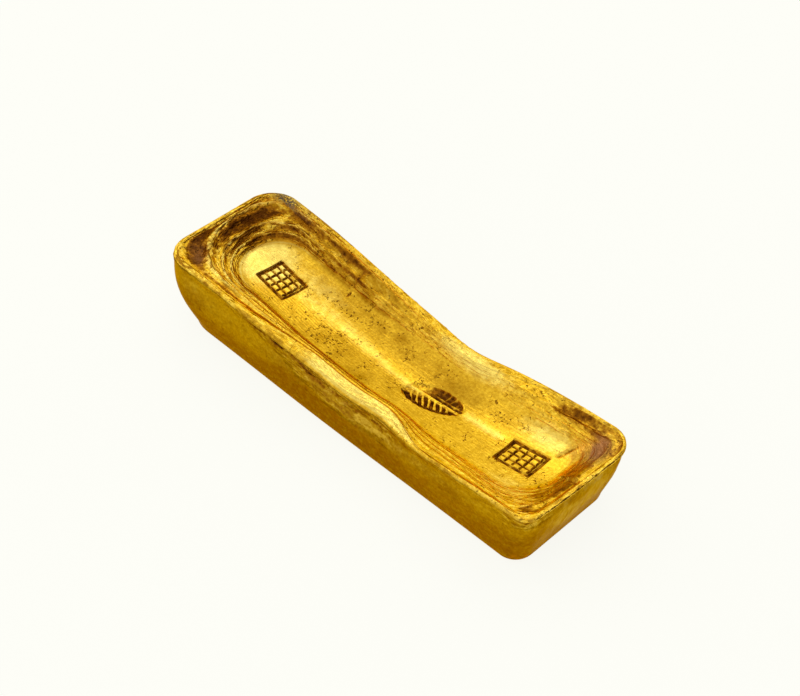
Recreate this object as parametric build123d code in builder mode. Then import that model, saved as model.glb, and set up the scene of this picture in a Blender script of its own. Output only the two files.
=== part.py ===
from build123d import *
import math
import os

# A cast gold ingot: a waisted, boat-shaped bar with a stepped dish in its upper face.
# Sizes are in millimetres. +X runs along the bar, +Z is up, and the bar lies on z = 0.
# "Near" is the long side at -Y, "far" the one at +Y; "left" is the end at -X.

# Overall sizes.
length = 88.0
end_width = 26.3
end_height = 14.0
end_bow = 0.5

# The pinched middle. The two long sides curve in by different amounts.
waist_x = 8.5
near_waist_depth = 1.5
far_waist_depth = 2.4

# The foot is smaller by the draft of the mould, and hardly follows the waist.
near_draft = 0.5
far_draft = 1.5
end_draft = 2.4
near_foot_waist_depth = 0.0
far_foot_waist_depth = 0.4
foot_corner_radius = 5.0
foot_radius = 1.7

# Roundness of the rim's corners, as they were poured and later knocked.
near_left_radius = 5.4
near_right_radius = 2.6
far_right_radius = 4.4
far_left_radius = 5.6

# The boat line: the rim sags towards the waist of the bar.
saddle_x = 7.0
saddle_dip = 3.1
saddle_half_span = 34.0
saddle_shoulder_dip = 0.35

# The steps that the shrinking metal left, from the inner edge of the rim to the floor.
# Each value is how far that step's edge lies inside the bar's edge.
step_inset_left = (0.9, 2.0, 5.0, 6.5, 8.0)
step_inset_right = (0.8, 2.4, 3.7, 4.8, 5.9)
step_inset_near = (0.8, 2.8, 4.0, 5.0, 6.2)
step_inset_near_waist = (2.2, 2.9, 3.5, 4.1, 4.8)
step_inset_far = (0.9, 2.0, 3.8, 4.9, 5.9)
step_inset_far_waist = (1.3, 1.9, 2.5, 3.1, 3.8)
step_radius_left = (4.8, 7.0, 7.0, 6.8, 6.6)
step_radius_right = (2.4, 3.6, 4.2, 4.6, 5.0)

# How far each step's tread lies under the rim. The last one only clears the trough's edge.
step_drop_at_ends = (0.6, 1.9, 2.6, 3.2, 3.6)
step_drop_at_waist = (0.3, 0.8, 1.2, 1.6, 2.0)

# The floor is a shallow trough, hollow across and along. Its depth is measured at its
# lowest line, down from the lowest point of the rim.
floor_x = 3.0
floor_depth = 2.9
floor_radius_across = 65.0
floor_radius_along = 280.0

# Struck marks: sunk fields with a bare floor. Each place is x, y and the turn in degrees.
mark_depth = 0.5
square_mark_size = (7.6, 5.9)
square_mark_places = [(-27.4, -0.3, -5.0), (30.9, -0.7, 4.0)]
oval_mark_size = (11.3, 5.5)
oval_mark_place = (10.4, -0.7, 15.0)

# How far the cutting shapes reach past the bar.
clearance = 5.0

half_length = length / 2
half_width = end_width / 2
floor_lowest = end_height - saddle_dip - floor_depth


def plan_outline(left, right, near, far, near_waist, far_waist, radii):
    """A closed outline in plan: bowed ends, long sides that curve in at the waist, round corners.

    left, right, near and far are where the four sides lie, and the waist values are how far
    the long sides come in at the waist. radii go round from the near left corner.
    """
    corners = [(left, near), (right, near), (right, far), (left, far)]
    with BuildSketch(mode=Mode.PRIVATE) as plan:
        with BuildLine():
            Spline(
                corners[0],
                (waist_x, near + near_waist),
                corners[1],
                tangents=[(1, 0), (1, 0)],
            )
            ThreePointArc(corners[1], (right + end_bow, (near + far) / 2), corners[2])
            Spline(
                corners[2],
                (waist_x, far - far_waist),
                corners[3],
                tangents=[(-1, 0), (-1, 0)],
            )
            ThreePointArc(corners[3], (left - end_bow, (near + far) / 2), corners[0])
        make_face()
        for corner, radius in zip(corners, radii):
            fillet(plan.vertices().sort_by_distance((*corner, 0))[0], radius)
    return plan.sketch


def rim_outline():
    """The outer edge of the rim."""
    return plan_outline(
        left=-half_length + end_bow,
        right=half_length - end_bow,
        near=-half_width,
        far=half_width,
        near_waist=near_waist_depth,
        far_waist=far_waist_depth,
        radii=(near_left_radius, near_right_radius, far_right_radius, far_left_radius),
    )


def foot_outline():
    """The edge of the underside, before the foot is rounded."""
    return plan_outline(
        left=-half_length + end_bow + end_draft,
        right=half_length - end_bow - end_draft,
        near=-half_width + near_draft,
        far=half_width - far_draft,
        near_waist=near_foot_waist_depth,
        far_waist=far_foot_waist_depth,
        radii=(foot_corner_radius,) * 4,
    )


def step_outline(step):
    """The edge of one step of the dish, inside the rim's own outline."""
    near_inset, far_inset = step_inset_near[step], step_inset_far[step]
    return plan_outline(
        left=-half_length + end_bow + step_inset_left[step],
        right=half_length - end_bow - step_inset_right[step],
        near=-half_width + near_inset,
        far=half_width - far_inset,
        near_waist=near_waist_depth + step_inset_near_waist[step] - near_inset,
        far_waist=far_waist_depth + step_inset_far_waist[step] - far_inset,
        radii=(
            step_radius_left[step],
            step_radius_right[step],
            step_radius_right[step],
            step_radius_left[step],
        ),
    )


def above_saddle(drop_at_ends, drop_at_waist):
    """The space above a boat-shaped surface, so many millimetres below the rim."""
    high = end_height - drop_at_ends
    low = end_height - saddle_dip - drop_at_waist
    reach = half_length + clearance
    top = end_height + clearance
    with BuildPart(mode=Mode.PRIVATE) as space:
        with BuildSketch(Plane.XZ):
            with BuildLine():
                Spline(
                    (-reach, high),
                    (saddle_x - saddle_half_span, high - saddle_shoulder_dip),
                    (saddle_x, low),
                    (saddle_x + saddle_half_span, high - saddle_shoulder_dip),
                    (reach, high),
                    tangents=[(1, 0), (1, 0)],
                )
                Polyline((reach, high), (reach, top), (-reach, top), (-reach, high))
            make_face()
        extrude(amount=half_width + clearance, both=True)
    return space.part


def dish_step(step):
    """What one step takes away: the inside of its edge, above its own boat-shaped surface."""
    with BuildPart(mode=Mode.PRIVATE) as cut:
        with BuildSketch():
            add(step_outline(step))
        extrude(amount=end_height + clearance)
        add(
            above_saddle(step_drop_at_ends[step], step_drop_at_waist[step]),
            mode=Mode.INTERSECT,
        )
    return cut.part


def floor_trough():
    """The lowest hollow: a tyre-shaped cut whose tread is the floor, inside the last step."""
    with BuildPart(mode=Mode.PRIVATE) as trough:
        with BuildSketch(Plane.YZ.offset(floor_x)):
            with Locations((0, floor_lowest + floor_radius_across)):
                Circle(floor_radius_across)
                Rectangle(end_width, 2 * floor_radius_across, mode=Mode.INTERSECT)
        revolve(axis=Axis((floor_x, 0, floor_lowest + floor_radius_along), (0, 1, 0)))
        with BuildSketch():
            add(step_outline(len(step_inset_left) - 1))
        extrude(amount=end_height + clearance, mode=Mode.INTERSECT)
    return trough.part


def mark_plane(place):
    """The floor of a struck mark: parallel to the trough's floor there, and sunk into it."""
    x, y, turn = place
    away = x - floor_x
    up = math.sqrt(floor_radius_along**2 - away**2)
    upright = Vector(-away, 0, up).normalized()
    along = Vector(1, 0, 0).rotate(Axis.Z, turn)
    on_floor = Vector(x, y, floor_lowest + floor_radius_along - up)
    return Plane(
        origin=on_floor - upright * mark_depth,
        x_dir=along - upright * along.dot(upright),
        z_dir=upright,
    )


with BuildPart() as ingot:
    # Walls with draft, from the foot to the rim, and a rounded foot.
    with BuildSketch():
        add(foot_outline())
    with BuildSketch(Plane.XY.offset(end_height)):
        add(rim_outline())
    loft()
    fillet(ingot.faces().sort_by(Axis.Z)[0].edges(), foot_radius)

    # The boat-shaped top, then the stepped dish with its trough.
    add(above_saddle(0, 0), mode=Mode.SUBTRACT)
    for step in range(len(step_inset_left)):
        add(dish_step(step), mode=Mode.SUBTRACT)
    add(floor_trough(), mode=Mode.SUBTRACT)

    # Two square marks and an oval one, struck into the floor together.
    for place in square_mark_places:
        with BuildSketch(mark_plane(place)):
            Rectangle(*square_mark_size)
    with BuildSketch(mark_plane(oval_mark_place)):
        Ellipse(oval_mark_size[0] / 2, oval_mark_size[1] / 2)
    extrude(amount=end_height, mode=Mode.SUBTRACT)

ingot.part.label = "ingot"
box = ingot.part.bounding_box()
print(f"volume {ingot.part.volume:.0f}, valid {ingot.part.is_valid}, {box}")

os.makedirs("parts", exist_ok=True)
export_step(ingot.part, "parts/ingot.step")
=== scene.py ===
# %% [markdown]
# A cast gold ingot, modelled in Blender over its CAD solid.
#
# The real bar was poured into an open mould. The metal shrank as it set, so the top sank
# into a stepped dish, and the bar was then pinched at its middle and struck with marks.
# The frame gives the solid. This script makes the skin that is seen: one closed mesh with
# the rim, the rings of the dish, the floor, the marks and the walls, and one gold material.

# %% Load the frame
import math
import bmesh
import bpy
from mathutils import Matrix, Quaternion, Vector, noise


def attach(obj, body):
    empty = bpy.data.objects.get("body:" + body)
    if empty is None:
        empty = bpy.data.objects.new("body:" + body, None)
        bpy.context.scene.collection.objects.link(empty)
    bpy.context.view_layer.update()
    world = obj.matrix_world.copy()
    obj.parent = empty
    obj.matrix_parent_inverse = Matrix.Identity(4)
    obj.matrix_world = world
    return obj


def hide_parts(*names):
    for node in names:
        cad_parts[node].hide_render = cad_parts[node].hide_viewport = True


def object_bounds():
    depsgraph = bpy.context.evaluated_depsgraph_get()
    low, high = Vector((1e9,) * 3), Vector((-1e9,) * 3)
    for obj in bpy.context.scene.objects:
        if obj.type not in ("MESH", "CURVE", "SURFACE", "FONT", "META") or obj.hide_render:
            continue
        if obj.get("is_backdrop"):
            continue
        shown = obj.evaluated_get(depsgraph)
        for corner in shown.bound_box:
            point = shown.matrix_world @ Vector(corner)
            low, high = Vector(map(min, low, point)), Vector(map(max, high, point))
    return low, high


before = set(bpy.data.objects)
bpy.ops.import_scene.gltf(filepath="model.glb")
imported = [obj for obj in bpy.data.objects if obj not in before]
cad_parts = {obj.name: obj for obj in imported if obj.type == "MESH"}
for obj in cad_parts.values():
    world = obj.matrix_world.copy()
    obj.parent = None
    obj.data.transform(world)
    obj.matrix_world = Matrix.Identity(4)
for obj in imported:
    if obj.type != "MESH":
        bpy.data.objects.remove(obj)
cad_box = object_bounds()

print("CAD box, mm:", [[round(c * 1000, 2) for c in corner] for corner in cad_box])

# %% [markdown]
# Small helpers come first. A bell makes a soft local swelling or dip, a fade leads from one
# shape into another, and fractal noise gives the unevenness of hand-poured metal. All
# lengths are millimetres until the mesh is finished, so they read like those of a drawing.

# %% Curves that shape metal
MM = 0.001


def bell(x, middle, spread):
    return math.exp(-0.5 * ((x - middle) / spread) ** 2)


def spot(X, Y, x, y, along_x, along_y):
    """A round or long soft spot: 1 at (x, y), fading to 0."""
    return math.exp(-0.5 * (((X - x) / along_x) ** 2 + ((Y - y) / along_y) ** 2))


def fade(x, none, full):
    """0 up to none and 1 from full on, soft between them. Full may be the smaller one."""
    t = min(1.0, max(0.0, (x - none) / (full - none)))
    return t * t * (3 - 2 * t)


def between(x, start, full, last, end):
    """1 from full to last, fading to 0 at start and at end."""
    return fade(x, start, full) * fade(x, end, last)


def mix(a, b, t):
    return a + (b - a) * t


def clamped(value):
    return min(1.0, max(0.0, value))


def wobble(x, y, size, seed, octaves=2):
    """Noise round 0, in patches of about this size."""
    point = Vector((x / size + 17.3 * seed, y / size - 9.1 * seed, 3.7 * seed))
    return noise.fractal(point, 1.0, 2.0, octaves)


def along(knots, values, t):
    """The value at t on the straight lines that join the knots."""
    if t <= knots[0]:
        return values[0]
    for k in range(len(knots) - 1):
        if t < knots[k + 1]:
            u = (t - knots[k]) / (knots[k + 1] - knots[k])
            return mix(values[k], values[k + 1], u)
    return values[-1]


print("a fade at its start, middle and end:", [fade(x, 2, 8) for x in (2, 5, 8)])

# %% [markdown]
# The outline of the rim, seen from above. A straight bar with four corners of its own
# radius is easy to work in, so every shape is first drawn in that straight bar, at small x
# and y. The last move pinches its two long sides in at the waist, to the real X and Y. Each
# side has a long pinch and a short one, which a sum of bells gives.

# %% The outline and its waist
HALF_LENGTH = 43.9
HALF_WIDTH = 13.1
CORNERS = {"near_left": 5.4, "far_left": 5.6, "near_right": 2.6, "far_right": 5.2}
NEAR_WIDTH, NEAR_TAPER = 13.12, 0.12
FAR_WIDTH, FAR_TAPER = 13.2, -0.15
TAPER_SPAN = 20
# Each pinch is its depth, its x and its spread. A negative depth swells.
NEAR_PINCHES = ((0.6, -6, 7), (1.3, 8.8, 4.6))
FAR_PINCHES = ((1.6, -1, 17), (0.95, 8.5, 4.8), (-0.25, 27, 9))
WAIST_X = 8.5
RIM_TOP, RIM_SAG, SAG_X, SAG_SPREAD = 13.95, 3.15, 7.0, 20.3


def side_edge(x, y):
    """How far the bar's long side stands from its middle line at x, on the side of y."""
    if y > 0:
        width, taper, pinches = FAR_WIDTH, FAR_TAPER, FAR_PINCHES
    else:
        width, taper, pinches = NEAR_WIDTH, NEAR_TAPER, NEAR_PINCHES
    pinch = sum(depth * bell(x, at, spread) for depth, at, spread in pinches)
    return width + taper * math.tanh(x / TAPER_SPAN) - pinch


def rim_height(x):
    return RIM_TOP - RIM_SAG * bell(x, SAG_X, SAG_SPREAD)


def corner_name(x, y):
    return ("near_" if y < 0 else "far_") + ("left" if x < 0 else "right")


def inside(x, y, left, right, near, far, radius):
    """How far (x, y) lies inside a rectangle with rounded corners, in millimetres."""
    ex = (x + HALF_LENGTH - left) if x < 0 else (HALF_LENGTH - right - x)
    ey = (y + HALF_WIDTH - near) if y < 0 else (HALF_WIDTH - far - y)
    if ex < radius and ey < radius:
        return radius - math.hypot(radius - ex, radius - ey)
    return min(ex, ey)


def edge_distance(x, y):
    return inside(x, y, 0, 0, 0, 0, CORNERS[corner_name(x, y)])


print("width at the waist, mm:", round(side_edge(WAIST_X, -1) + side_edge(WAIST_X, 1), 1))

# %% [markdown]
# The rings of the dish. Each is where the top of the metal stood for a moment while it
# shrank. A table says how far each ring lies from the bar's edge, at the two ends, along
# the sides and at the corners. The first entry is the inner edge of the rim and the last
# is the edge of the floor. Which ring passes through a point is then found by halving,
# which works for any outline that only shrinks from ring to ring.

# %% The rings of the dish
RINGS = (0.0, 0.2, 0.5, 0.75, 1.0, 1.12)
LEFT_END = (0.9, 1.7, 5.0, 6.5, 8.0, 8.7)
RIGHT_END = (0.8, 2.4, 3.7, 4.8, 5.9, 6.5)
# Turns: where a side's rings leave the waist's distances, and where they reach an end's.
NEAR_SIDE = {
    "left": (0.9, 3.0, 4.4, 5.6, 6.9, 7.6),
    "waist": (2.7, 3.7, 4.2, 4.8, 5.5, 6.0),
    "right": (0.55, 2.0, 3.2, 4.2, 5.4, 6.0),
    "turns": ((-8, -27), (8, 20)),
}
FAR_SIDE = {
    "left": (0.9, 1.6, 3.9, 4.9, 5.8, 6.4),
    "waist": (2.9, 3.3, 3.8, 4.3, 5.0, 5.5),
    "right": (0.7, 3.3, 4.6, 5.4, 6.3, 6.9),
    "turns": ((7, -14), (11, 26)),
}
RING_CORNERS = {
    "near_left": (4.6, 11.2, 8.8, 7.8, 6.9, 6.8),
    "far_left": (4.8, 6.0, 6.6, 6.8, 6.8, 6.8),
    "near_right": (2.2, 5.0, 6.0, 6.6, 7.0, 7.0),
    "far_right": (3.6, 3.2, 3.2, 3.4, 3.8, 3.8),
}
HALVINGS = 11


def side_rings(side, x):
    """Distance of each ring from a long side, at x."""
    to_left, to_right = (fade(x, *turn) for turn in side["turns"])
    rings = zip(side["left"], side["waist"], side["right"])
    return [mix(mix(waist, left, to_left), right, to_right) for left, waist, right in rings]


def ring_level(x, y):
    """Which ring passes through (x, y), from 0 at the rim to 1 at the floor's edge.

    The second value says how far outside the first ring or inside the last one it lies.
    """
    tables = (
        LEFT_END,
        RIGHT_END,
        side_rings(NEAR_SIDE, x),
        side_rings(FAR_SIDE, x),
        RING_CORNERS[corner_name(x, y)],
    )

    def inside_ring(level):
        return inside(x, y, *(along(RINGS, table, level) for table in tables))

    low, high = RINGS[0], RINGS[-1]
    if inside_ring(low) <= 0:
        return low, inside_ring(low)
    if inside_ring(high) >= 0:
        return high, inside_ring(high)
    for _ in range(HALVINGS):
        middle = (low + high) / 2
        if inside_ring(middle) > 0:
            low = middle
        else:
            high = middle
    return low, 0.0


print("rings:", len(RINGS), "and the level 6 mm inside the left end:", ring_level(-38, 0)[0])

# %% [markdown]
# The floor is a shallow trough, hollow across and along, with a soft crease along its
# middle, where the bar was pinched. The root of a square plus a small number is a V whose
# bottom is round, which suits metal better than a sharp one.

# %% The floor of the dish
FLOOR_LOWEST, FLOOR_X = 7.95, 3
HOLLOW_ALONG, HOLLOW_NEAR, HOLLOW_FAR = 560, 200, 190
CREASE_ROUND, CREASE_ZERO = 1.1, 1.05
CREASE_LEAST = 0.035
# Where the crease is steeper: by how much, at which x, and the spread.
CREASE_STEEPER = ((0.085, -2, 15), (0.05, 22, 7))
FLOOR_DENT = (14.5, 1.2, 3.0, 2.6)
DENT_DEPTH = 0.22


def floor_height(x, y):
    steepness = CREASE_LEAST + sum(by * bell(x, at, spread) for by, at, spread in CREASE_STEEPER)
    # The crease wanders: nearer the near side at the waist, and back beyond the oval mark.
    middle = 0.1 - 1.1 * fade(x, -12, 6) + 1.7 * fade(x, 10, 20)
    crease = steepness * (math.sqrt((y - middle) ** 2 + CREASE_ROUND) - CREASE_ZERO)
    hollow = (x - FLOOR_X) ** 2 / HOLLOW_ALONG + y * y / (HOLLOW_FAR if y > 0 else HOLLOW_NEAR)
    return FLOOR_LOWEST + hollow + crease - DENT_DEPTH * spot(x, y, *FLOOR_DENT)


print("floor and rim at the middle:", round(floor_height(3, 0), 2), round(rim_height(3), 2))

# %% [markdown]
# The steps. From the rim the metal goes down in treads, each with a raised lip at its edge,
# and steep risers between them. The profile gives the share of the way down at each ring
# level, and a drop in it that comes back is a lip. A bar's steps are never equally clear
# all round: here they are full at the left end and weak elsewhere, so the stepped profile
# is mixed with a plain slope.

# %% Steps between rim and floor
STEP_PROFILE = (
    (0.0, 0.0), (0.03, 0.13), (0.07, 0.20), (0.13, 0.22), (0.17, 0.16), (0.20, 0.05),
    (0.23, 0.15), (0.34, 0.52), (0.40, 0.57), (0.47, 0.55), (0.50, 0.46),
    (0.53, 0.57), (0.61, 0.74), (0.67, 0.77), (0.72, 0.75), (0.75, 0.67),
    (0.79, 0.79), (0.86, 0.89), (0.92, 0.94), (0.97, 0.96), (1.0, 0.965),
    (1.04, 0.98), (1.12, 1.0),
)
STEP_AT, STEP_DROP = zip(*STEP_PROFILE)
SLOPE_END = 1.07


def step_strength(x, y):
    """How clear the steps are: full at the left end, weaker along the sides and to the right."""
    sides = mix(0.42, 0.62, fade(x, 4, -10)) if y > 0 else 0.5
    right_end = mix(0.12, 0.9, fade(y, 3.0, 7.0))
    return mix(mix(sides, 1.0, fade(x, -20, -33)), right_end, fade(x, 22, 34))


def share_down(x, y, level):
    """How far down from the rim to the floor the metal is, from 0 to 1."""
    uneven = 0.035 * wobble(x, y, 5.0, 1) + 0.018 * wobble(x, y, 1.6, 4)
    uneven_level = min(RINGS[-1], max(0.0, level + uneven * fade(level, 0.0, 0.15)))
    stepped = along(STEP_AT, STEP_DROP, uneven_level)
    plain = 0.55 * fade(level, 0.0, SLOPE_END) + 0.45 * min(1.0, level / SLOPE_END)
    if y < 0:
        # The near slope drops just inside the rim and runs out gently to the floor.
        early = 0.42 * fade(level, 0.0, 0.14) + 0.58 * plain
        plain = mix(plain, early, fade(x, -34, -24))
    return mix(plain, stepped, step_strength(x, y))


print("share of the way down at the lips:", [along(STEP_AT, STEP_DROP, s) for s in RINGS[1:4]])

# %% [markdown]
# Crumpled metal. The skin set while the metal under it still moved, so it lies in sharp
# little folds that run along the rings. The noise for it is stretched: its third
# coordinate is the distance across the rings, and it changes fastest there. The absolute
# value of a noise has a sharp crest wherever the noise crosses 0.

# %% Folds that follow the rings
ACROSS_PER_LEVEL = 8.0


def along_rings(x, y, across, length, width, seed, octaves=3):
    """Noise that is stretched along the rings: long one way, narrow across them."""
    point = Vector((x / length + 5.3 * seed, y / length - 3.1 * seed, across / width))
    return noise.fractal(point, 1.0, 2.0, octaves)


def crumple(x, y, across, seed):
    crests = 0.30 - 1.1 * abs(along_rings(x, y, across, 3.2, 0.85, seed))
    return crests + 0.15 * wobble(x, y, 0.8, seed + 1, 2)


print("a fold's height beside its crest:", round(crumple(-40, 0, 1.0, 8), 3))

# %% [markdown]
# Some features have a place of their own on this bar: a deep hollow behind the near left
# corner, a long one at the far right, a fine crack on the far side, and a slot that a cold
# drop left near the right end. The crack and the slot are also darkened later, so each is a
# function that says how far a point is on it.

# %% Hollows, crack and slot
CORNER_HOLLOW, CORNER_HOLLOW_DEPTH = (-39.6, -8.3, 1.9, 1.7), 0.75
LONG_HOLLOW_Y, LONG_HOLLOW_SPREAD, LONG_HOLLOW_DEPTH = 10.6, 0.9, 0.60
CRACK_DEPTH, SLOT_DEPTH = 0.10, 0.24
CRACK_X, CRACK_Y, CRACK_SLANT = -17.2, 8, -0.12
SLOT_X, SLOT_Y, SLOT_SLANT = 35.7, 5.4, 0.30
SLOT_NEAR, SLOT_FAR = 3.0, 7.4


def on_crack(X, Y, width):
    across = X - CRACK_SLANT * (Y - CRACK_Y)
    return bell(across, CRACK_X, width) * between(Y, 4.6, 6.0, 9.6, 11.0)


def on_slot(X, Y, width, soft):
    across = X - SLOT_SLANT * (Y - SLOT_Y)
    ends = between(Y, SLOT_NEAR, SLOT_NEAR + soft, SLOT_FAR - soft, SLOT_FAR)
    return bell(across, SLOT_X, width) * ends


def local_hollows(X, Y, level):
    """How deep the bar's own hollows are at (X, Y)."""
    corner = spot(X, Y, *CORNER_HOLLOW) * between(level, 0.0, 0.08, 0.16, 0.2)
    long_one = bell(Y, LONG_HOLLOW_Y, LONG_HOLLOW_SPREAD) * between(X, 24, 30, 38, 41)
    hollow = CORNER_HOLLOW_DEPTH * corner + LONG_HOLLOW_DEPTH * long_one
    return hollow + CRACK_DEPTH * on_crack(X, Y, 0.16) + SLOT_DEPTH * on_slot(X, Y, 0.20, 0.6)


print("depth of the corner hollow:", round(local_hollows(-39.6, -8.3, 0.12), 2))

# %% [markdown]
# Now the height of every point of the top can be put together: the way down from rim to
# floor, the roll of the rim towards the outside, the folds and the hollows. The rim rolls
# over sharply at the ends and broadly at the waist, where the pinch squeezed it flat.

# %% Height of the top
def pinched_shoulder(x, y):
    """Where the pinch made a broad shoulder of a long side's rim."""
    if y < 0:
        return fade(bell(x, -1.0, 10.0), 0.1, 0.8)
    return 0.7 * bell(x, 9.0, 9.0)


def top_height(x, y, X, Y):
    """Height at (x, y) of the straight bar, which is at (X, Y) on the real one."""
    level, deep = ring_level(x, y)
    across = ACROSS_PER_LEVEL * level + deep
    outside = edge_distance(x, y)
    shoulder = pinched_shoulder(x, y)
    z = mix(rim_height(X), floor_height(x, Y), share_down(x, y, level))
    roll_width, roll_drop = mix(0.40, 0.9, shoulder), mix(0.30, 0.45, shoulder)
    z -= roll_drop * max(0.0, 1 - outside / roll_width) ** 2
    # The near shoulder also tilts a little outwards.
    z -= 0.10 * shoulder * (y < 0) * max(0.0, 1 - outside / 2.6)
    # Folds on the lips of the steps and on the rim, most of all at the left end.
    left = fade(x, -24, -36)
    lips = sum(bell(level, at, 0.040) for at in RINGS[1:4])
    on_steps = min(1.0, lips + 0.55 * between(level, 0.01, 0.05, 0.45, 0.6))
    on_steps *= 0.22 * (0.3 + left) * step_strength(x, y)
    on_rim = fade(level, 0.06, 0.0) * (1 - 0.6 * shoulder) * fade(outside, 0.0, 0.6)
    on_rim *= 0.12 + 0.14 * left + 0.15 * spot(x, y, -42.0, -11.5, 4.5, 3.0)
    z += on_steps * crumple(x, y, across, 8) + on_rim * crumple(x, y, across, 9)
    return z - local_hollows(X, Y, level), level, across, outside


print("height at the left end's first tread:", round(top_height(-41, 0, -41, 0)[0], 2))

# %% [markdown]
# The top starts as one grid. A grid keeps its rows parallel to the bar, so the steps, the
# marks and the pits all get even faces. Its rows are drawn closer together towards the
# edge. Then each corner is squeezed in to its radius, and the waist is pinched. The layers
# keep, for each vertex, what the walls and the material need to know later.

# %% The top sheet
COLUMNS, ROWS = 404, 142
# How strongly the grid's lines crowd to the edge: a power and an amount.
CROWD_ALONG, CROWD_ACROSS = (4.0, 0.12), (9.0, 0.05)
END_BOW = 0.35
CORNER_SWELL_X, CORNER_SWELL_Y, CORNER_SWELL_SPREAD = 0.6, 0.3, 6.0


def closer_at_edge(t, power, amount):
    return (1 + amount) * t - amount * math.copysign(abs(t) ** power, t)


def rounded(x, y):
    """Squeezes the square corner of the grid into the bar's round one."""
    r = CORNERS[corner_name(x, y)]
    a = (abs(x) - (HALF_LENGTH - r)) / r
    b = (abs(y) - (HALF_WIDTH - r)) / r
    if a <= 0 or b <= 0:
        return x, y
    a, b = a * math.sqrt(1 - b * b / 2), b * math.sqrt(1 - a * a / 2)
    return (
        math.copysign(HALF_LENGTH - r + a * r, x),
        math.copysign(HALF_WIDTH - r + b * r, y),
    )


def near_left_corner(x, y, spread):
    """The near left corner, which the pour left a little swollen."""
    return bell(x, -HALF_LENGTH, spread) * bell(y, -HALF_WIDTH, spread)


def pinched(x, y):
    """From the straight bar to the real one: the waist, and ends that bow out a little."""
    bow = END_BOW * (1 - (y / HALF_WIDTH) ** 2) * (abs(x) / HALF_LENGTH) ** 6
    swollen = near_left_corner(x, y, CORNER_SWELL_SPREAD)
    X = x + math.copysign(bow, x) - CORNER_SWELL_X * swollen
    return X, y * side_edge(x, y) / HALF_WIDTH - CORNER_SWELL_Y * swollen


skin = bmesh.new()
bmesh.ops.create_grid(skin, x_segments=COLUMNS, y_segments=ROWS, size=1.0)
ring_mm = skin.verts.layers.float.new("ring_mm")
level_of = skin.verts.layers.float.new("level")
across_of = skin.verts.layers.float.new("across")
finish_and_painted_shade = skin.verts.layers.float_color.new("finish_and_painted_shade")
wear_and_painted_light = skin.verts.layers.float_color.new("wear_and_painted_light")
folds_of = skin.verts.layers.float.new("folds")
pitted = skin.verts.layers.float.new("pitted")
straight = {}
for vert in skin.verts:
    x = HALF_LENGTH * closer_at_edge(vert.co.x, *CROWD_ALONG)
    y = HALF_WIDTH * closer_at_edge(vert.co.y, *CROWD_ACROSS)
    x, y = rounded(x, y)
    X, Y = pinched(x, y)
    z, vert[level_of], vert[across_of], vert[ring_mm] = top_height(x, y, X, Y)
    vert.co = (X, Y, z)
    straight[vert] = (x, y)
print("top sheet:", len(skin.faces), "faces")

# %% [markdown]
# The foot under the rim. The mould's draft makes the foot smaller than the rim, and the
# foot hardly follows the waist. For each point of the rim this gives the point of the foot
# that lies under it, and the direction in which the wall faces there.

# %% The outline of the foot
FOOT_RADIUS = 1.7
FOOT_CORNERS = {"near_left": 7.4, "far_left": 5.0, "near_right": 4.0, "far_right": 5.0}
FOOT_HALF_LENGTH = 41.3
FOOT_NEAR, FOOT_FAR = 12.85, 11.7
FOOT_SKEW = 0.035
# The foot's own waist, as a share of its width, with its x and spread.
FOOT_WAIST_NEAR, FOOT_WAIST_FAR = (0.026, -3, 15), (-0.05, 6, 12)


def foot_point(x, y):
    """The outline of the foot that lies under a point of the rim, and its outward direction."""
    r = CORNERS[corner_name(x, y)]
    ix = max(-(HALF_LENGTH - r), min(HALF_LENGTH - r, x))
    iy = max(-(HALF_WIDTH - r), min(HALF_WIDTH - r, y))
    out = Vector(((x - ix) / r, (y - iy) / r, 0))
    out.normalize()
    half, waist = (FOOT_NEAR, FOOT_WAIST_NEAR) if y < 0 else (FOOT_FAR, FOOT_WAIST_FAR)
    corner = FOOT_CORNERS[corner_name(x, y)]
    fx = ix * (FOOT_HALF_LENGTH - corner) / (HALF_LENGTH - r) + corner * out.x
    fy = iy * (half - corner) / (HALF_WIDTH - r) + corner * out.y
    fx -= FOOT_SKEW * fy * fade(fx, 20, 40)
    share, at, spread = waist
    return Vector((fx, fy * (1 + share * bell(fx, at, spread)), 0)), out


print("foot under the near right corner:", [round(c, 1) for c in foot_point(43.9, -13.1)[0]])

# %% [markdown]
# How far the wall stands out. A straight line from rim to foot would look machined. The
# real wall has a slight belly, a hollow and a swelling under the pinched shoulder, a thin
# crevice where the skin folded over under the near rim, and a hammered right end. Each is
# a bell in t, the share of the way down, and all are added up.

# %% The relief of the walls
WALL_HEIGHT = 13.0
# Where the crevice runs along the near side: start, full, last and end.
CREVICE_SPAN = (-27, -18, 8, 14)
HOLLOW_DEPTH, SWELL_HEIGHT, CREVICE_DEPTH = 0.60, 0.30, 0.34
END_HOLLOW_DEPTH, HAMMERED, BELLY, UNEVEN, LIP = 0.55, 0.10, 0.30, 0.09, 0.12
CORNER_BULGE, CORNER_BULGE_SPREAD = 1.15, 6.5


def crevice_depth(x):
    """How far under the near rim its folded skin ends."""
    return 0.75 + 1.15 * fade(x, -13, -2) + 0.25 * wobble(x, 0.0, 5.0, 18)


def belly_share(t):
    """0 at the rim and the foot, 1 half way down."""
    return math.sin(math.pi * min(1.0, t))


def near_wall_relief(t, x, ragged):
    """The hollow, the swelling and the crevice under the near rim."""
    middle_at = 0.22 + 0.05 * math.sin(x / 4.5)
    waist = bell(x, 3, 9.5) + 0.35 * bell(x, 17, 4)
    hollow = HOLLOW_DEPTH * bell(t, middle_at, 0.085) * waist * ragged
    swell = SWELL_HEIGHT * bell(t, middle_at + 0.22, 0.10) * bell(x, 2, 13)
    crevice = CREVICE_DEPTH * bell(t, crevice_depth(x) / WALL_HEIGHT, 0.020)
    crevice *= between(x, *CREVICE_SPAN) * (1 + 0.8 * wobble(x, t, 1.8, 19))
    return swell - hollow - crevice


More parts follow.
